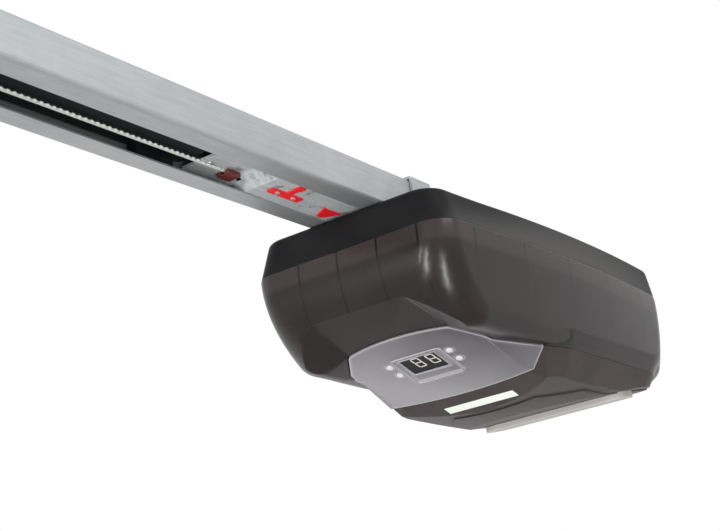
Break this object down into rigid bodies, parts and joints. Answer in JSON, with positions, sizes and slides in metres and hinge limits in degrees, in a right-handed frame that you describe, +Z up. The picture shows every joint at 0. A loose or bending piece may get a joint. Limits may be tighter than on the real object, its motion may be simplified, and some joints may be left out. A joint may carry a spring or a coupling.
{
  "type": "garage door opener",
  "caption": "Ceiling garage door opener: motor head with smoked cover and display panel, slotted steel rail, toothed belt drive, sliding carriage with door arm lugs and pull release.",
  "frame": {"origin": "centre of the four hanger bolt holes, on the top face of the head", "axes": "+Z up, +Y along the rail from the door to the back of the head"},
  "size_m": [0.181, 1.1307, 0.1572],
  "materials": {
    "galvanised_steel": "galvanised sheet",
    "zinc_plated_steel": "bright zinc",
    "charcoal_abs": "fine moulded texture",
    "smoked_polycarbonate": "smoked, translucent",
    "graphite_abs": "satin",
    "frosted_polycarbonate": "frosted, translucent",
    "opal_polycarbonate": "opal diffuser",
    "black_nylon": "moulded",
    "display_glass": "black filter",
    "acetal_white": "moulded",
    "red_nylon": "moulded",
    "dark_red_nylon": "moulded",
    "belt_rubber": "toothed belt",
    "circuit_board": "solder mask",
    "component_plastic": "moulded",
    "capacitor_can": "sleeved can",
    "led_phosphor": "phosphor",
    "painted_motor": "zinc primer",
    "core_steel": "laminated",
    "coil_copper": "enamelled wire under tape"
  },
  "bodies": {
    "head": {"rail": "galvanised_steel", "rail_saddle": "galvanised_steel", "station_plate": "galvanised_steel", "idler_yoke": "galvanised_steel", "wall_bracket": "galvanised_steel", "saddle_screws": "zinc_plated_steel", "tension_screw": "zinc_plated_steel", "tension_nut": "zinc_plated_steel", "bracket_pin": "zinc_plated_steel", "idler_axle": "zinc_plated_steel", "catch_rivets": "zinc_plated_steel", "shaft_bearings": "zinc_plated_steel", "base_housing": "charcoal_abs", "smoked_cover": "smoked_polycarbonate", "belly_cover": "graphite_abs", "control_lens": "frosted_polycarbonate", "light_lens": "opal_polycarbonate", "end_block": "black_nylon", "cable_gland": "black_nylon", "motor_end_cap": "black_nylon", "button_switches": "black_nylon", "gearbox_lid": "black_nylon", "gearbox_housing": "black_nylon", "display_module": "display_glass", "red_catch": "red_nylon", "red_hook": "red_nylon", "belt_guide": "dark_red_nylon", "belt": "belt_rubber", "main_board": "circuit_board", "control_board": "circuit_board", "led_board": "circuit_board", "relays": "component_plastic", "terminal_block": "component_plastic", "capacitors": "capacitor_can", "led_chips": "led_phosphor", "motor_can": "painted_motor", "transformer_core": "core_steel", "transformer_coil": "coil_copper"},
    "carriage": {"carriage_body": "black_nylon", "slide_shoes": "black_nylon", "belt_clamp": "galvanised_steel", "arm_lugs": "galvanised_steel", "lever_pin": "zinc_plated_steel"},
    "drive": {"output_shaft": "zinc_plated_steel", "drive_pulley": "acetal_white", "worm_wheel": "acetal_white"},
    "worm": {"worm_shaft": "zinc_plated_steel"},
    "idler": {"idler_pulley": "acetal_white"},
    "lever": {"release_lever": "red_nylon"},
    "button_1": {"push_button_1": "frosted_polycarbonate"},
    "button_2": {"push_button_2": "frosted_polycarbonate"},
    "button_3": {"push_button_3": "frosted_polycarbonate"},
    "button_4": {"push_button_4": "frosted_polycarbonate"}
  },
  "joints": [
    {"name": "carriage_travel", "type": "slide", "parent": "head", "child": "carriage", "axis": [0, -1, 0], "range_m": [0, 0.24]},
    {"name": "drive_spin", "type": "hinge", "parent": "head", "child": "drive", "pos_m": [0, -0.15, 0], "axis": [0, 0, 1], "continuous": true},
    {"name": "idler_spin", "type": "hinge", "parent": "head", "child": "idler", "pos_m": [0, -0.85, 0], "axis": [0, 0, 1], "continuous": true},
    {"name": "worm_spin", "type": "hinge", "parent": "head", "child": "worm", "pos_m": [0.0209, -0.15, -0.024], "axis": [0, 1, 0], "continuous": true},
    {"name": "release_pull", "type": "hinge", "parent": "carriage", "child": "lever", "pos_m": [0, -0.557, 0.001], "axis": [1, 0, 0], "range_deg": [0, 35], "stiffness_Nm_per_rad": 0.3, "springref_deg": -8.59},
    {"name": "button_1_press", "type": "slide", "parent": "head", "child": "button_1", "axis": [0, 0.2978, 0.9546], "range_m": [0, 0.0008], "stiffness_N_per_m": 800, "springref_m": -0.0003},
    {"name": "button_2_press", "type": "slide", "parent": "head", "child": "button_2", "axis": [0, 0.2978, 0.9546], "range_m": [0, 0.0008], "stiffness_N_per_m": 800, "springref_m": -0.0003},
    {"name": "button_3_press", "type": "slide", "parent": "head", "child": "button_3", "axis": [0, 0.2978, 0.9546], "range_m": [0, 0.0008], "stiffness_N_per_m": 800, "springref_m": -0.0003},
    {"name": "button_4_press", "type": "slide", "parent": "head", "child": "button_4", "axis": [0, 0.2978, 0.9546], "range_m": [0, 0.0008], "stiffness_N_per_m": 800, "springref_m": -0.0003}
  ],
  "couplings": [
    {"joint": "drive_spin", "follows": "carriage_travel", "rad_per_m": -78.54},
    {"joint": "idler_spin", "follows": "carriage_travel", "rad_per_m": -78.54},
    {"joint": "worm_spin", "follows": "carriage_travel", "rad_per_m": 2513.3}
  ]
}
